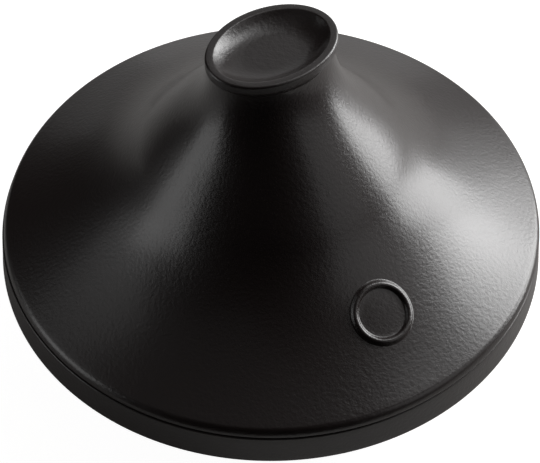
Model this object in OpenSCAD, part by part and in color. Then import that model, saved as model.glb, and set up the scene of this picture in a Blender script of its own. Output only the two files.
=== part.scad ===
// Tagine: a shallow round cooking dish and the bell-shaped lid that rests on it.
// Millimetres, Z up, origin on the table under the centre of the dish.

/* [Overall] */
// Outer diameter of the dish's rim
outer_d = 332; // [290:1:380]
// How far the dish's rim stands out all round under the lid's rim
ledge = 1.7; // [0:0.1:4]
// How far the lid is turned on the dish, as the long axis of its knob from +X
lid_turn = 33.5; // [0:0.5:180]
// How far the lid has slid towards +X, as a share of the play in the dish
lid_slid = 0.25; // [0:0.05:0.9]

/* [Dish] */
// Height of the dish, from table to rim
dish_h = 87; // [70:1:110]
// Height of the upright band below the dish's rim
band_h = 20; // [12:0.5:28]
// Rounding of the rim's outer edge and of the band's lower edge
dish_edge = 1; // [0.5:0.1:2.5]
// Thickness of the dish's upright wall
dish_wall = 9; // [8:0.5:11]
// Thickness of the dish's cooking floor
floor_t = 8; // [6:0.5:12]
// Diameter of the flat cooking floor
floor_d = 176; // [150:1:200]
// Slope of the underside where it leaves the band, in degrees
under_slope = 50; // [45:1:54]
// Outer diameter of the ground foot ring
foot_d = 204; // [170:1:230]
// Width of the foot ring's flat
foot_w = 10; // [7:0.5:16]
// Height of the foot ring's outer side
foot_h = 5; // [3:0.5:9]
// Rounding of the foot ring's outer edge and of the rim's inner edge
edge_r = 1; // [0.5:0.1:1.5]
// Depth of the hollow inside the foot ring
foot_hollow = 3; // [1.5:0.5:4]

/* [Lid] */
// Height of the lid from the seam to the top of the knob
lid_h = 153.5; // [145:0.5:190]
// Height of the lid's rim, up to the corner that it makes with the cone
rim_h = 6.5; // [6:0.1:14]
// How far the lid's rim draws in from its lower edge to that corner
rim_in = 1.8; // [0.5:0.1:3]
// Rounding of that corner
rim_r = 4.5; // [2:0.1:6]
// Rounding of the rim's lower edge
lid_edge = 0.8; // [0.3:0.1:0.8]
// Thickness of the lid's wall
lid_wall = 7; // [5:0.5:9]
// Slope of the cone at the rim, in degrees
rim_slope = 23; // [18:1:32]
// Diameter of the waist, where the low apron turns into the steep cone
waist_d = 158.6; // [140:1:180]
// Height of the waist above the seam
waist_h = 66.4; // [60:0.1:78]
// Slope of the cone at the waist, in degrees
waist_slope = 55.5; // [48:1:62]
// Height of the locating lip that hangs inside the dish
lip_h = 5; // [3:0.5:8]
// Thickness of the locating lip
lip_w = 5; // [3:0.5:7]
// Play between the locating lip and the dish's wall
lip_gap = 2; // [0.5:0.5:3]

/* [Knob] */
// Length of the oval knob
knob_l = 82; // [78:0.2:96]
// Width of the oval knob
knob_w = 60.4; // [58:0.2:66]
// Height of the knob's upright side
knob_t = 9.5; // [8.5:0.5:13]
// Rounding of the knob's outer edge
knob_r = 1.3; // [0.5:0.1:3]
// Height of the soft swell by which the knob grows out of the neck
knob_swell = 4; // [2:0.5:5]
// Width of the rim round the knob's hollow, with the rounded edge
knob_rim = 4; // [3.2:0.1:5.5]
// Depth of the hollow in the knob's top
hollow_d = 6.3; // [4:0.1:7]
// Width of the hollow's sloping side
hollow_w = 15; // [10:0.5:17]
// Mean diameter of the neck where it meets the knob
neck_d = 66.6; // [62:0.2:68]
// Slope of the neck there, in degrees
neck_slope = 81; // [76:1:86]
// Half the difference between the neck's length and width under the knob
neck_oval = 4.4; // [0:0.1:5]
// Length over which the neck goes from oval to round
neck_blend = 50; // [35:1:60]

/* [Medallion] */
// Diameter of the round medallion pressed on the lid
medal_d = 36.6; // [26:0.2:42]
// Distance of its centre from the lid's axis
medal_at = 116; // [108:0.5:124]
// Thickness of its raised border
medal_bead = 3.4; // [2:0.1:5]
// How far the border's crest stands out of the lid
medal_rise = 1.7; // [1.3:0.1:2.5]
// How far its plain field stands out of the lid
medal_field = 0.3; // [0:0.1:0.8]

/* [Hidden] */
$fn = 144;
glaze = [0.11, 0.11, 0.115];

ro = outer_d / 2;                    // outside of the dish's rim
lid_ro = ro - ledge;                 // outside of the lid's rim
band_z = dish_h - band_h;            // lower edge of the upright band
floor_z = foot_hollow + floor_t;     // top of the cooking floor
lip_ro = ro - dish_wall - lip_gap;   // outside of the lid's locating lip
top_z = dish_h + lid_h;              // top of the knob
knob_z = top_z - knob_t;             // underside of the knob
crown_z = top_z - hollow_d - lid_wall; // top of the hollow inside the lid

// Unit direction that climbs towards the axis at slope a
function dir(a) = [-cos(a), sin(a)];

// Smooth curve from p to q that leaves p along u and reaches q along v
function curve(p, u, q, v, n) =
    let (k = 0.345 * norm(q - p), b = p + k * u, c = q - k * v)
    [for (i = [0 : n]) let (t = i / n, s = 1 - t)
        s * s * s * p + 3 * s * s * t * b + 3 * s * t * t * c + t * t * t * q];

// Arc about c, radius r, from angle a to angle b
function arc(c, r, a, b, n) =
    [for (i = [0 : n]) let (w = a + (b - a) * i / n) c + r * [cos(w), sin(w)]];

// A curve without its first point, for joining curves end to end
function rest(c) = [for (i = [1 : len(c) - 1]) c[i]];

function smooth(t) = let (x = min(max(t, 0), 1)) x * x * (3 - 2 * x);

// Height on a climbing profile at radius x, and radius at height z
function z_at(c, x) = lookup(-x, [for (p = c) [-p[0], p[1]]]);
function r_at(c, z) = lookup(z, [for (p = c) [p[1], p[0]]]);

// Profile of the lid's cone: rounded corner, low apron up to the waist, throat up to the knob
corner = [lid_ro - rim_in, dish_h + rim_h];
side_slope = atan2(rim_h, rim_in);
corner_l = rim_r * tan((side_slope - rim_slope) / 2);
corner_c = corner - corner_l * dir(side_slope) - rim_r * [sin(side_slope), cos(side_slope)];
cone = concat(
    curve(corner + corner_l * dir(rim_slope), dir(rim_slope),
          [waist_d / 2, dish_h + waist_h], dir(waist_slope), 18),
    rest(curve([waist_d / 2, dish_h + waist_h], dir(waist_slope),
          [neck_d / 2, knob_z], dir(neck_slope), 18)));

// The neck is round at blend_z and oval where it meets the knob
blend_z = knob_z - neck_blend;
function oval_at(z) = neck_oval * smooth((z - blend_z) / neck_blend);

// Inside of the lid: the cone moved in by the wall, closed by a dome under the knob
function inward(c, i) =
    let (t = c[min(i + 1, len(c) - 1)] - c[max(i - 1, 0)], u = t / norm(t))
    c[i] - lid_wall * [u[1], -u[0]] - [oval_at(c[i][1]), 0];
lid_in = [for (i = [0 : len(cone) - 1]) inward(cone, i)];
dome_z = crown_z - 12;
lip_ri = lip_ro - lip_w;
lid_inside = concat(
    [[lip_ri, dish_h - lip_h - 1], [lip_ri, z_at(lid_in, lip_ri)]],
    [for (p = lid_in) if (p[0] < lip_ri - 0.5 && p[1] < dome_z - 1) p],
    curve([r_at(lid_in, dome_z), dome_z], [0, 1], [0, crown_z], [-1, 0], 10),
    [[0, dish_h - lip_h - 1]]);

module lid_bell() {
    rotate_extrude() polygon(concat(
        [[0, dish_h - lip_h], [lip_ro - edge_r, dish_h - lip_h]],
        arc([lip_ro - edge_r, dish_h - lip_h + edge_r], edge_r, -90, 0, 3),
        [[lip_ro, dish_h]],
        arc([lid_ro - lid_edge, dish_h + lid_edge], lid_edge, -90, 90 - side_slope, 5),
        arc(corner_c, rim_r, 90 - side_slope, 90 - rim_slope, 8),
        [for (p = rest(cone)) if (p[1] < blend_z - 0.5) p],
        [[r_at(cone, blend_z), blend_z], [0, blend_z]]));
}

// One oval ring of the neck or knob, pulled in square to its outline by w
sides = 90;
function oval(a, b, w, z) =
    [for (i = [0 : sides - 1]) let (t = 360 * i / sides, n = [b * cos(t), a * sin(t)])
        [a * cos(t) - w * n[0] / norm(n), b * sin(t) - w * n[1] / norm(n), z]];

// Skin over a stack of rings, closed by a flat end below and a point at the top
module skin(rings, tip) {
    n = len(rings[0]);
    m = len(rings);
    polyhedron(
        points = concat([for (r = rings) each r], [tip]),
        faces = concat(
            [[for (i = [0 : n - 1]) i]],
            [for (j = [0 : m - 2], i = [0 : n - 1]) let (k = (i + 1) % n)
                each [[j * n + i, j * n + n + i, j * n + k],
                      [j * n + k, j * n + n + i, j * n + n + k]]],
            [for (i = [0 : n - 1]) [(m - 1) * n + i, m * n, (m - 1) * n + (i + 1) % n]]));
}

// Upper neck and knob in one skin: the neck goes from round to oval, the knob swells out
// over it to an upright side, and its top is hollowed like a small dish
module neck_and_knob() {
    a = knob_l / 2;
    b = knob_w / 2;
    na = neck_d / 2 + neck_oval;
    nb = neck_d / 2 - neck_oval;
    seat = 1; // depth of the skin's foot in the cone
    steps = 8;
    skin(concat(
        [for (i = [0 : steps]) let (z = blend_z - seat + (neck_blend + seat) * i / steps,
            r = r_at(cone, z) - (i == 0 ? 0.1 : 0), e = oval_at(z)) oval(r + e, r - e, 0, z)],
        [for (t = [0.2 : 0.2 : 1]) oval(na + (a - na) * smooth(t), nb + (b - nb) * smooth(t), 0,
            knob_z + knob_swell * t)],
        [for (w = [0 : 22.5 : 90])
            oval(a, b, knob_r - knob_r * cos(w), top_z - knob_r + knob_r * sin(w))],
        [for (w = [0, hollow_edge / 2, hollow_edge, 0.14, 0.23, 0.35, 0.48, 0.62, 0.78, 1])
            oval(a, b, knob_rim + hollow_w * w, top_z - 0.98 * hollow_d * hollow_fall(w))],
        [oval((a - knob_rim - hollow_w) / 2, (b - knob_rim - hollow_w) / 2, 0,
            top_z - 0.99 * hollow_d)]),
        [0, 0, top_z - hollow_d]);
}

// Fall of the hollow's side from its edge (0) to its floor (1): steepest just inside the
// rounded edge, and easing evenly down to the floor
hollow_edge = 0.06;
function hollow_fall(w) = let (e = hollow_edge)
    (w < e ? (1 - e) * w * w / e : 2 * w - w * w - e) / (1 - e);

// Local frame of the medallion: on the lid's surface, square to it, facing -Y
module on_lid() {
    z = z_at(cone, medal_at);
    tilt = atan2(z_at(cone, medal_at - 4) - z_at(cone, medal_at + 4), 8);
    translate([0, -medal_at, z]) rotate([tilt, 0, 0]) children();
}

// A round plug let into the cone: a rounded border round a plain sunken field
module medallion() {
    rm = medal_d / 2;
    rb = medal_bead / 2;
    rotate_extrude() polygon(concat(
        [[0, -3], [rm, -3]],
        arc([rm - rb, medal_rise - rb], rb, 0, 180, 10),
        [[rm - medal_bead, medal_field], [0, medal_field]]));
}

module lid() {
    color(glaze) translate([lid_slid * lip_gap, 0, 0]) rotate([0, 0, lid_turn]) difference() {
        union() {
            difference() {
                lid_bell();
                on_lid() translate([0, 0, -2]) cylinder(d = medal_d - medal_bead, h = 8);
            }
            neck_and_knob();
            on_lid() medallion();
        }
        rotate_extrude() polygon(lid_inside);
    }
}

// Outside of the dish below its band, down to the foot ring, and the same moved in by the wall
band_c = [ro - dish_edge, band_z + dish_edge];
bowl = curve(band_c + dish_edge * [sin(under_slope), -cos(under_slope)],
             [-cos(under_slope), -sin(under_slope)],
             [foot_d / 2, foot_h], [-cos(15), -sin(15)], 20);
bowl_dir = [for (i = [0 : 20]) let (t = bowl[min(i + 1, 20)] - bowl[max(i - 1, 0)]) t / norm(t)];
bowl_in = [for (i = [0 : 20]) bowl[i] + dish_wall * [bowl_dir[i][1], -bowl_dir[i][0]]];

module dish() {
    ri = ro - dish_wall;
    foot_ri = foot_d / 2 - foot_w;
    color(glaze) rotate_extrude() polygon(concat(
        [[0, foot_hollow], [foot_ri - foot_hollow, foot_hollow], [foot_ri, 0],
         [foot_d / 2 - edge_r, 0], [foot_d / 2, edge_r]],
        [for (i = [len(bowl) - 1 : -1 : 1]) bowl[i]],
        arc(band_c, dish_edge, under_slope - 90, 0, 4),
        arc([ro - dish_edge, dish_h - dish_edge], dish_edge, 0, 90, 5),
        arc([ri + edge_r, dish_h - edge_r], edge_r, 90, 180, 4),
        curve([ri, band_z + band_h / 2], [0, -1], bowl_in[3], bowl_dir[3], 8),
        [for (i = [4 : 15]) bowl_in[i]],
        rest(curve(bowl_in[15], bowl_dir[15], [floor_d / 2, floor_z], [-1, 0], 8)),
        [[0, floor_z]]));
}

dish();
lid();
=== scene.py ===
from math import atan2, cos, pi, radians, sin

import bpy
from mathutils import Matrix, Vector


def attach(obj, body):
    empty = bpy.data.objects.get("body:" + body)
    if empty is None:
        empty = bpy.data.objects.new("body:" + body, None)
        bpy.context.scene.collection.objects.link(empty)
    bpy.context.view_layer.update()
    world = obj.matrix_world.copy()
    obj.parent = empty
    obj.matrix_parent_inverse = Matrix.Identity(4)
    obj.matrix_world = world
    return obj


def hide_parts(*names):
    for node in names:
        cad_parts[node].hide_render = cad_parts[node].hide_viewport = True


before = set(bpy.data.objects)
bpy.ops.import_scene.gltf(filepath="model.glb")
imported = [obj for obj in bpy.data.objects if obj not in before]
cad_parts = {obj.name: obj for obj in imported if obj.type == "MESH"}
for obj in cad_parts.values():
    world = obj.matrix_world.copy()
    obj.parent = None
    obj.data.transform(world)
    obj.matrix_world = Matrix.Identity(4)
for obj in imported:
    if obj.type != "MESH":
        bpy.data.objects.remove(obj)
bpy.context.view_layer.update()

# Dish
# A shallow bowl of cooking stoneware, pressed in one piece: a foot ring, a
# curved underside, an upright band at the rim and a flat cooking floor.
# Black satin glaze all over.

MM = 0.001
OUTER_D = 332
EDGE_R = 1          # rounding of the rim's inner edge, the foot's outer edge and the lid's lip
DISH_H = 87
BAND_H = 20
DISH_EDGE = 1       # rounding of the band's lower edge
SEAM_EDGE = 0.6     # rounding of the dish's edge at the seam
BAND_DRAFT = 1.2    # how far the band draws in from its lower edge to the rim
DISH_WALL = 9
FLOOR_T = 8
FLOOR_D = 176
UNDER_SLOPE = 50    # of the underside where it leaves the band
TOE_SLOPE = 15      # of the underside where it meets the foot
FOOT_D = 204
FOOT_W = 10
FOOT_H = 5
FOOT_ROLL = 0.9     # rounding of the foot's inner edge
FOOT_HOLLOW = 3     # depth of the recess inside the foot ring
RECESS_BEND = 3     # width of the bend from the recess to its side
SIDES = 240         # columns round dish and lid, 4.3 mm apart at the rim
EDGE_ANGLE = 30     # bends sharper than this stay crisp


def curve(p, u, q, v, n):
    """Points of a smooth curve from p, leaving along u, to q, arriving along v."""
    p, u, q, v = (Vector(c) for c in (p, u, q, v))
    pull = 0.345 * (q - p).length    # near to an arc of 50 degrees
    b, c = p + pull * u, q - pull * v
    points = []
    for i in range(n + 1):
        t = i / n
        s = 1 - t
        points.append(s ** 3 * p + 3 * s * s * t * b + 3 * s * t * t * c + t ** 3 * q)
    return points


def arc(centre, r, start, end, n):
    """Points of an arc of radius r about centre, from angle start to angle end."""
    turns = [radians(start + (end - start) * i / n) for i in range(n + 1)]
    return [Vector((centre[0] + r * cos(a), centre[1] + r * sin(a))) for a in turns]


def inside_of(line, wall):
    """The line moved in square to itself by the wall's thickness, each point with its direction."""
    moved = []
    for i, p in enumerate(line):
        t = (line[min(i + 1, len(line) - 1)] - line[max(i - 1, 0)]).normalized()
        moved.append((p + wall * Vector((t[1], -t[0])), t))
    return moved


def ring_start(name, half_x, half_y, z, sides):
    """A new circle of vertices, stretched to its first ring and left in edit mode."""
    bpy.ops.object.select_all(action="DESELECT")
    bpy.ops.mesh.primitive_circle_add(vertices=sides, radius=MM, fill_type="NOTHING")
    piece = bpy.context.object
    piece.name = piece.data.name = name
    bpy.ops.object.mode_set(mode="EDIT")
    bpy.ops.mesh.select_all(action="SELECT")
    bpy.ops.transform.resize(value=(half_x, half_y, 1), center_override=(0, 0, 0))
    bpy.ops.transform.translate(value=(0, 0, z * MM))
    return piece


def raise_rings(last, rings):
    """Extrudes the selected ring through rings, each (half length, half width, height) in mm."""
    for ring in rings:
        rise = (0, 0, (ring[2] - last[2]) * MM)
        bpy.ops.mesh.extrude_region_move(TRANSFORM_OT_translate={"value": rise})
        bpy.ops.transform.resize(
            value=(ring[0] / last[0], ring[1] / last[1], 1), center_override=(0, 0, 0))
        last = ring
    return last


def close_tip():
    """Extrudes the selected ring once more and draws it shut to a point."""
    bpy.ops.mesh.extrude_region_move()
    bpy.ops.mesh.merge(type="CENTER")


def select_loop(piece, z, reach):
    """Selects the vertices at height z within reach of the axis, both in mm."""
    bpy.ops.mesh.select_all(action="DESELECT")
    bpy.ops.object.mode_set(mode="OBJECT")
    for v in piece.data.vertices:
        v.select = abs(v.co.z - z * MM) < 1e-6 and v.co.xy.length < reach * MM
    bpy.ops.object.mode_set(mode="EDIT")


def finish_skin(piece):
    """Faces outward, object mode, and smooth shading except across real edges."""
    bpy.ops.mesh.select_all(action="SELECT")
    bpy.ops.mesh.normals_make_consistent(inside=False)
    bpy.ops.object.mode_set(mode="OBJECT")
    bpy.ops.object.shade_smooth_by_angle(angle=radians(EDGE_ANGLE))


ro = OUTER_D / 2
rim_ro = ro - BAND_DRAFT
ri = ro - DISH_WALL
band_z = DISH_H - BAND_H
floor_z = FOOT_HOLLOW + FLOOR_T
foot_ro = FOOT_D / 2
foot_ri = foot_ro - FOOT_W

band_edge = arc((ro - DISH_EDGE, band_z + DISH_EDGE), DISH_EDGE, UNDER_SLOPE - 90, 0, 5)
bowl = curve(band_edge[0], (-cos(radians(UNDER_SLOPE)), -sin(radians(UNDER_SLOPE))),
             (foot_ro, FOOT_H), (-cos(radians(TOE_SLOPE)), -sin(radians(TOE_SLOPE))), 20)
bowl_in = inside_of(bowl, DISH_WALL)
dish_line = (
    [Vector((FOOT_D / 8, FOOT_HOLLOW)), Vector((foot_ri - FOOT_HOLLOW - RECESS_BEND, FOOT_HOLLOW))]
    + curve((foot_ri - FOOT_HOLLOW, FOOT_HOLLOW), (0.8, -0.6), (foot_ri, 0.6), (0.6, -0.8), 4)
    + arc((foot_ri + FOOT_ROLL, FOOT_ROLL), FOOT_ROLL, 200, 270, 4)
    + arc((foot_ro - EDGE_R, EDGE_R), EDGE_R, 270, 360, 5)
    + [Vector((foot_ro, FOOT_H - FOOT_ROLL))]
    + bowl[:0:-1]
    + band_edge
    + [Vector((ro - BAND_DRAFT * k / 4, band_z + BAND_H * k / 4)) for k in (1, 2, 3)]
    + arc((rim_ro - SEAM_EDGE, DISH_H - SEAM_EDGE), SEAM_EDGE, 0, 90, 5)
    + arc((ri + EDGE_R, DISH_H - EDGE_R), EDGE_R, 90, 180, 6)
    + curve((ri, band_z + BAND_H / 2), (0, -1), bowl_in[3][0], bowl_in[3][1], 8)
    + [p for p, t in bowl_in[4:16]]
    + curve(bowl_in[15][0], bowl_in[15][1], (FLOOR_D / 2, floor_z), (-1, 0), 8)[1:]
    + [Vector((FLOOR_D / 4, floor_z)), Vector((FLOOR_D / 12, floor_z))])
dish_rings = [(p[0], p[0], p[1]) for p in dish_line]

dish = ring_start("dish_glazed", *dish_rings[0], SIDES)
raise_rings(dish_rings[0], dish_rings[1:])
close_tip()
select_loop(dish, dish_rings[0][2], dish_rings[0][0] + 1)
close_tip()
finish_skin(dish)


def linear(hex_colour):
    """Linear colour of an sRGB hex value."""
    srgb = [int(hex_colour[i:i + 2], 16) / 255 for i in (0, 2, 4)]
    return [c / 12.92 if c <= 0.04045 else ((c + 0.055) / 1.055) ** 2.4 for c in srgb] + [1]


def add_node(tree, kind, settings=None, links=None):
    """Adds a node, sets its properties and sockets, and links sockets to other nodes' outputs."""
    node = tree.nodes.new(kind)
    for name, value in (settings or {}).items():
        if isinstance(name, str) and hasattr(node, name) and name not in node.inputs:
            setattr(node, name, value)
        else:
            node.inputs[name].default_value = value
    for name, source in (links or {}).items():
        tree.links.new(source, node.inputs[name])
    return node


def satin_glaze():
    """Black satin stoneware glaze, melted in the kiln: a hard, slightly
    matt glass with a fine orange peel, over a body that shows nowhere."""
    mat = bpy.data.materials.new("satin_black_glaze")
    mat.use_nodes = True
    tree = mat.node_tree
    tree.nodes.clear()
    place = add_node(tree, "ShaderNodeTexCoord").outputs["Object"]
    # orange peel: dimples about 2.2 mm apart
    peel = add_node(tree, "ShaderNodeTexNoise",
                    {"Scale": 1 / (2.2 * MM), "Detail": 2.0, "Roughness": 0.6},
                    {"Vector": place})
    bump = add_node(tree, "ShaderNodeBump", {"Strength": 0.65, "Distance": 0.3 * MM},
                    {"Height": peel.outputs["Fac"]})
    skin = add_node(tree, "ShaderNodeBsdfPrincipled",
                    {"Base Color": linear("1f1817"), "Roughness": 0.34, "IOR": 1.6,
                     "Coat Weight": 0.3, "Coat Roughness": 0.2},
                    {"Normal": bump.outputs["Normal"]})
    add_node(tree, "ShaderNodeOutputMaterial", None, {"Surface": skin.outputs["BSDF"]})
    return mat


glaze = satin_glaze()
dish.data.materials.append(glaze)
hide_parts("dish")
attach(dish, "root")

# Lid
# One piece of the same stoneware: a low apron that climbs into a steep cone,
# a neck that turns from round to oval, and an oval knob hollowed on top to
# hold cold water. It rests on the dish's rim; a lip inside keeps it centred.

LID_IN = 1.7        # the lid's lower edge lies this far inside the dish's widest line
LID_TURN = 33.5     # degrees from +X to the knob's long axis
LID_SLIDE = 0.5     # towards +X, inside the play of the lip
SEAM_GAP = 0.5      # the lid's underside is relieved near its edge, so that the seam shows
RELIEF_W = 3        # width of that relief
RELIEF_RAMP = 1     # width of the step up to it
SEAM_ROLL = 0.8     # rounding of the lid's lower outer edge
LID_H = 153.5
RIM_H = 6.5         # up to the corner with the cone
RIM_IN = 1.8        # how far the rim draws in up to that corner
RIM_ROLL = 1.6      # how far up the cone the corner's rounding reaches
LID_WALL = 7
RIM_SLOPE = 23
WAIST_D = 158.6
WAIST_H = 66.4
WAIST_SLOPE = 55.5
LIP_H = 5
LIP_W = 5
LIP_GAP = 2         # play of the lip inside the dish
LIP_CHAMFER = 0.4
KNOB_L = 82
KNOB_W = 60.4
KNOB_T = 9.5
KNOB_R = 1.3        # rounding of the knob's top edge
KNOB_SWELL = 4      # height over which the neck swells out into the knob
KNOB_RIM = 4        # width of the rim round the hollow, with the rounded edge
HOLLOW_D = 6.3
HOLLOW_FLOOR = 0.42   # size of the hollow's floor, as a share of the hollow
HOLLOW_TURN = 0.06    # share of its side that is the rounded edge at the top
HOLLOW_EASE = 2.3     # how gently its side runs out into the floor
DOME_H = 12         # height of the dome that closes the inside under the knob
NECK_D = 66.6
NECK_SLOPE = 81
NECK_OVAL = 4.4     # what the neck gains in half its length and loses in half its width
NECK_BLEND = 50     # height over which it turns from round to oval


def climb(slope):
    """Direction that comes in towards the axis while rising at slope degrees."""
    return Vector((-cos(radians(slope)), sin(radians(slope))))


def smooth(t):
    """Eases from 0 to 1, level at both ends."""
    t = min(max(t, 0), 1)
    return t * t * (3 - 2 * t)


lid_ro = ro - LID_IN
top_z = DISH_H + LID_H
knob_z = top_z - KNOB_T
crown_z = top_z - HOLLOW_D - LID_WALL
blend_z = knob_z - NECK_BLEND
lip_ro = ri - LIP_GAP
lip_ri = lip_ro - LIP_W

corner = Vector((lid_ro - RIM_IN, DISH_H + RIM_H))
waist = Vector((WAIST_D / 2, DISH_H + WAIST_H))
cone = (curve(corner + RIM_ROLL * climb(RIM_SLOPE), climb(RIM_SLOPE),
              waist, climb(WAIST_SLOPE), 36)
        + curve(waist, climb(WAIST_SLOPE), (NECK_D / 2, knob_z), climb(NECK_SLOPE), 40)[1:])


def neck_oval(z):
    """Half the difference between the neck's length and width at height z."""
    return NECK_OVAL * smooth((z - blend_z) / NECK_BLEND)


def height_on(line, r):
    """Height of a climbing line at radius r."""
    for p, q in zip(line, line[1:]):
        if q[0] <= r <= p[0]:
            return p[1] + (q[1] - p[1]) * (p[0] - r) / (p[0] - q[0])


def radius_on(line, z):
    """Radius of a climbing line at height z."""
    for p, q in zip(line, line[1:]):
        if p[1] <= z <= q[1]:
            return p[0] + (q[0] - p[0]) * (z - p[1]) / (q[1] - p[1])


half_l, half_w = KNOB_L / 2, KNOB_W / 2
neck_l, neck_w = NECK_D / 2 + NECK_OVAL, NECK_D / 2 - NECK_OVAL
foot_of_lid = (
    arc((lip_ri + EDGE_R, DISH_H - LIP_H + EDGE_R), EDGE_R, 180, 270, 5)
    + arc((lip_ro - EDGE_R, DISH_H - LIP_H + EDGE_R), EDGE_R, 270, 360, 5)
    + [Vector((lip_ro, DISH_H - LIP_CHAMFER)), Vector((lip_ro + LIP_CHAMFER, DISH_H)),
       Vector((lid_ro - RELIEF_W - RELIEF_RAMP, DISH_H)), Vector((lid_ro - RELIEF_W, DISH_H + SEAM_GAP))]
    + arc((lid_ro - SEAM_ROLL, DISH_H + SEAM_GAP + SEAM_ROLL), SEAM_ROLL, 270, 360, 5)
    + curve((lid_ro, DISH_H + SEAM_GAP + SEAM_ROLL), climb(90), cone[0], climb(RIM_SLOPE), 16)[1:])
lid_rings = (
    [(p[0], p[0], p[1]) for p in foot_of_lid]
    + [(p[0] + neck_oval(p[1]), p[0] - neck_oval(p[1]), p[1]) for p in cone[1:]]
    + [(neck_l + (half_l - neck_l) * smooth(t), neck_w + (half_w - neck_w) * smooth(t),
        knob_z + KNOB_SWELL * t) for k in range(1, 11) for t in [k / 10]]
    + [(half_l, half_w, knob_z + KNOB_SWELL + (KNOB_T - KNOB_SWELL - KNOB_R) * k / 3)
       for k in (1, 2, 3)])

lid = ring_start("lid_glazed", *lid_rings[0], SIDES)
raise_rings(lid_rings[0], lid_rings[1:])


def inset_by(thickness, rise):
    """Insets the selected face and lifts the new one, in mm."""
    bpy.ops.mesh.inset(thickness=thickness * MM, depth=0, use_even_offset=True)
    bpy.ops.transform.translate(value=(0, 0, rise * MM))


def hollow_fall(w):
    """Fall of the hollow's side from its edge (0) to its floor (1): a rounded edge, then ever gentler."""
    def ease(v):
        return 1 - (1 - v) ** HOLLOW_EASE
    turn = HOLLOW_TURN * HOLLOW_EASE * (1 - HOLLOW_TURN) ** (HOLLOW_EASE - 1) / 2
    if w < HOLLOW_TURN:
        fall = turn * (w / HOLLOW_TURN) ** 2
    else:
        fall = turn + ease(w) - ease(HOLLOW_TURN)
    return fall / (turn + 1 - ease(HOLLOW_TURN))


# the knob's top is one face, inset over the rounded edge and across the rim,
# then drawn down ring by ring into the hollow
bpy.ops.mesh.edge_face_add()
for k in range(7):
    a, b = radians(90 * k / 7), radians(90 * (k + 1) / 7)
    inset_by(KNOB_R * (cos(a) - cos(b)), KNOB_R * (sin(b) - sin(a)))
for k in range(2):
    inset_by((KNOB_RIM - KNOB_R) / 2, 0)
steps = ([HOLLOW_TURN * k / 4 for k in (1, 2, 3, 4)]
         + [HOLLOW_TURN + (1 - HOLLOW_TURN) * k / 20 for k in range(1, 21)])
hollow_edge = (half_l - KNOB_RIM, half_w - KNOB_RIM, top_z)
hollow_rings = []
for w in steps:
    share = 1 - w * (1 - HOLLOW_FLOOR)
    fall = HOLLOW_D * hollow_fall(w)
    hollow_rings.append((hollow_edge[0] * share, hollow_edge[1] * share, top_z - fall))
last = raise_rings(hollow_edge, hollow_rings)
raise_rings(last, [(last[0] / 2, last[1] / 2, last[2])])
bpy.ops.mesh.poke()

# inside: the cone moved in by the wall, closed by a dome under the knob; points
# that would crowd the lip or the foot of the dome are left out
dome_z = crown_z - DOME_H
inner = [p - Vector((neck_oval(c[1]), 0)) for c, (p, t) in zip(cone, inside_of(cone, -LID_WALL))]
lid_in = (
    [Vector((lip_ri, height_on(inner, lip_ri)))]
    + [p for p in inner if p[0] < lip_ri - 0.5 and p[1] < dome_z - 1]
    + curve((radius_on(inner, dome_z), dome_z), (0, 1), (1, crown_z), (-1, 0), 10))
select_loop(lid, lid_rings[0][2], lid_rings[0][0] + 0.1)
raise_rings(lid_rings[0], [(p[0], p[0], p[1]) for p in lid_in])
close_tip()
finish_skin(lid)

# medallion: a raised border round a plain field, pressed on in one with the lid
MEDAL_AT = 116        # distance of its centre from the axis
MEDAL_R = 20.2        # where the border runs out into the cone
MEDAL_ROOT = 2.5      # how deep its plug reaches into the lid's wall
MEDAL_RISE = 2.3      # height of the border's crest
MEDAL_CREST_R = 16.8
MEDAL_FIELD = 0.3     # height of the field
MEDAL_FIELD_R = 13.9
MEDAL_SIDES = 144
MEDAL_ANGLE = 16      # bends sharper than this stay crisp where the border meets the cone
slope = atan2(height_on(cone, MEDAL_AT - 4) - height_on(cone, MEDAL_AT + 4), 8)


def slant(a):
    """Direction that comes in towards the medallion's centre while rising at a degrees."""
    return Vector((-cos(radians(a)), sin(radians(a))))


outer_flank = Vector((18.6, 1.1))    # the steepest places of the border's two sides
inner_flank = Vector((15.1, 1.2))
crest = Vector((MEDAL_CREST_R, MEDAL_RISE))
medal_line = (
    [Vector((MEDAL_R, -MEDAL_ROOT)), Vector((MEDAL_R, -0.5))]
    + curve((MEDAL_R - 0.1, -0.12), slant(20), outer_flank, slant(65), 7)
    + curve(outer_flank, slant(65), crest, slant(0), 7)[1:]
    + curve(crest, slant(0), inner_flank, slant(-65), 7)[1:]
    + curve(inner_flank, slant(-65), (MEDAL_FIELD_R, MEDAL_FIELD), slant(0), 6)[1:]
    + [Vector((r, MEDAL_FIELD)) for r in (11, 8, 5, 2.5)])
medal_rings = [(p[0], p[0], p[1]) for p in medal_line]
medal = ring_start("medallion", *medal_rings[0], MEDAL_SIDES)
raise_rings(medal_rings[0], medal_rings[1:])
close_tip()
select_loop(medal, -MEDAL_ROOT, MEDAL_R + 1)
close_tip()
finish_skin(medal)


def on_cone(x, y, h):
    """Lays a point of the flat medallion on the lid's cone, h square out of it, all in mm."""
    p = Vector((x, -MEDAL_AT + y * cos(slope), height_on(cone, MEDAL_AT) + y * sin(slope)))
    axis = Vector((0, -sin(slope), cos(slope)))
    for i in range(8):
        p -= (p.z - height_on(cone, p.xy.length)) * cos(slope) * axis
    r = p.xy.length
    local = atan2(height_on(cone, r - 2) - height_on(cone, r + 2), 4)
    square = Vector((sin(local) * p.x / r, sin(local) * p.y / r, cos(local)))
    return p + h * square


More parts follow.
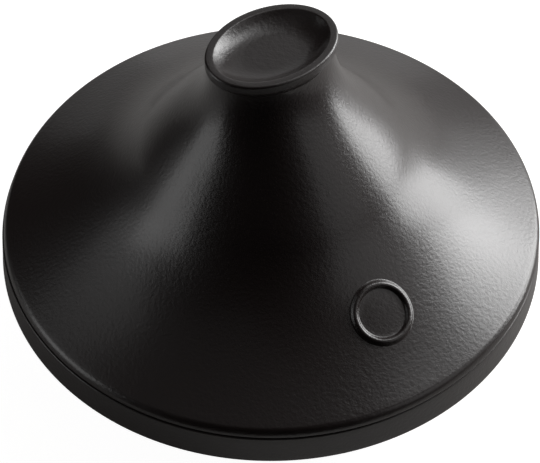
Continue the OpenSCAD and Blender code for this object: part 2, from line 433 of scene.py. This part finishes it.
for v in medal.data.vertices:
    v.co = on_cone(v.co.x / MM, v.co.y / MM, v.co.z / MM) * MM
bpy.ops.object.select_all(action="DESELECT")
lid.select_set(True)
bpy.context.view_layer.objects.active = lid
bpy.ops.object.modifier_add(type="BOOLEAN")
join = lid.modifiers[-1]
join.operation = "UNION"
join.solver = "EXACT"
join.object = medal
bpy.ops.object.modifier_apply(modifier=join.name)
bpy.data.objects.remove(medal)
bpy.ops.object.shade_smooth_by_angle(angle=radians(MEDAL_ANGLE))
lid.rotation_euler.z = radians(LID_TURN)
lid.location.x = LID_SLIDE * MM
bpy.ops.object.transform_apply(location=True, rotation=True, scale=False)

lid.data.materials.append(glaze)
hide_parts("lid")
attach(lid, "root")

# Studio
# A pale paper table in a dark room, lit by soft panels at the right, the left
# and the back. White behind the tagine is seen by the camera alone: the glaze
# mirrors only the table and the panels, and nothing here is metal or glass.

TABLE_W = 1.6
TABLE_FRONT = -0.33     # the table ends here; the dark front of the neck mirrors the room beyond
TABLE_DROP = 0.0002     # below the foot, so that the two faces don't fight
bpy.ops.object.select_all(action="DESELECT")
bpy.ops.mesh.primitive_plane_add(size=TABLE_W, location=(0, TABLE_FRONT + TABLE_W / 2, -TABLE_DROP))
floor = bpy.context.object
floor.name = "floor"
paper = bpy.data.materials.new("white_paper")
paper.use_nodes = True
tree = paper.node_tree
tree.nodes.clear()
ray = add_node(tree, "ShaderNodeLightPath").outputs["Is Camera Ray"]
lit = add_node(tree, "ShaderNodeBsdfDiffuse", {"Color": linear("b6b4b2")})
seen = add_node(tree, "ShaderNodeMath", {"operation": "MULTIPLY", 1: 0.95}, {0: ray})
glow = add_node(tree, "ShaderNodeEmission", {"Color": (1, 1, 1, 1)}, {"Strength": seen.outputs[0]})
both = add_node(tree, "ShaderNodeAddShader", None, {0: lit.outputs[0], 1: glow.outputs[0]})
add_node(tree, "ShaderNodeOutputMaterial", None, {"Surface": both.outputs[0]})
floor.data.materials.append(paper)


PANEL_DISTANCE = 1.7
PANEL_AIM_Z = 0.12


def softbox(name, azimuth, elevation, width, height, radiance):
    """A soft panel that faces the tagine. Azimuth 0 is the camera's side, 90 the right."""
    az, el = radians(azimuth), radians(elevation)
    light = bpy.data.lights.new(name, "AREA")
    light.shape = "RECTANGLE"
    light.size, light.size_y = width, height
    light.energy = radiance * pi * width * height
    lamp = bpy.data.objects.new(name, light)
    at = Vector((sin(az) * cos(el), -cos(az) * cos(el), sin(el)))
    lamp.location = at * PANEL_DISTANCE + Vector((0, 0, PANEL_AIM_Z))
    lamp.rotation_euler = at.to_track_quat("Z", "Y").to_euler()
    lamp.visible_camera = False
    bpy.context.scene.collection.objects.link(lamp)


softbox("key", 114, 32, 0.70, 0.80, 7.6)
softbox("key_edge", 126, 25, 0.80, 0.55, 4.6)
softbox("key_low", 113, 5, 1.11, 0.66, 6.9)
softbox("key_back", 138, 13, 0.60, 0.80, 1.0)
softbox("key_high", 120, 53, 0.50, 0.50, 4.4)
softbox("key_top", 126, 68, 1.52, 0.36, 1.2)
softbox("right", 61, 25, 1.08, 1.10, 0.48)
softbox("left_low", -78, 6, 0.95, 1.06, 1.25)
softbox("left_high", -93, 31, 0.84, 1.31, 0.50)
softbox("top", 50, 87, 3.0, 1.14, 0.06)
softbox("back_low", 180, 6, 2.20, 0.50, 0.32)
softbox("back", 178, 20, 1.10, 2.00, 0.48)

world = bpy.data.worlds.new("studio")
bpy.context.scene.world = world
world.use_nodes = True
tree = world.node_tree
tree.nodes.clear()
ray = add_node(tree, "ShaderNodeLightPath").outputs["Is Camera Ray"]
dim = add_node(tree, "ShaderNodeBackground", {"Color": (1, 1, 1, 1), "Strength": 0.002})
white = add_node(tree, "ShaderNodeBackground", {"Color": (1, 1, 1, 1), "Strength": 1.0})
pick = add_node(tree, "ShaderNodeMixShader", None, {0: ray, 1: dim.outputs[0], 2: white.outputs[0]})
add_node(tree, "ShaderNodeOutputWorld", None, {"Surface": pick.outputs[0]})

# the camera, fitted to the two rim circles of the photograph
CAMERA_EL = 49.27
CAMERA_R = 1.5
CAMERA_AIM_Z = 0.0926
camera_data = bpy.data.cameras.new("camera")
camera = bpy.data.objects.new("camera", camera_data)
bpy.context.scene.collection.objects.link(camera)
el = radians(CAMERA_EL)
camera.location = Vector((0, 0, CAMERA_AIM_Z)) + CAMERA_R * Vector((0, -cos(el), sin(el)))
camera.rotation_euler = (radians(90 - CAMERA_EL), 0, 0)
camera_data.sensor_width = 36
camera_data.lens = 163.0
camera_data.shift_x = -0.0013
camera_data.shift_y = -0.0308
bpy.context.scene.camera = camera
bpy.context.scene.view_settings.view_transform = "Standard"
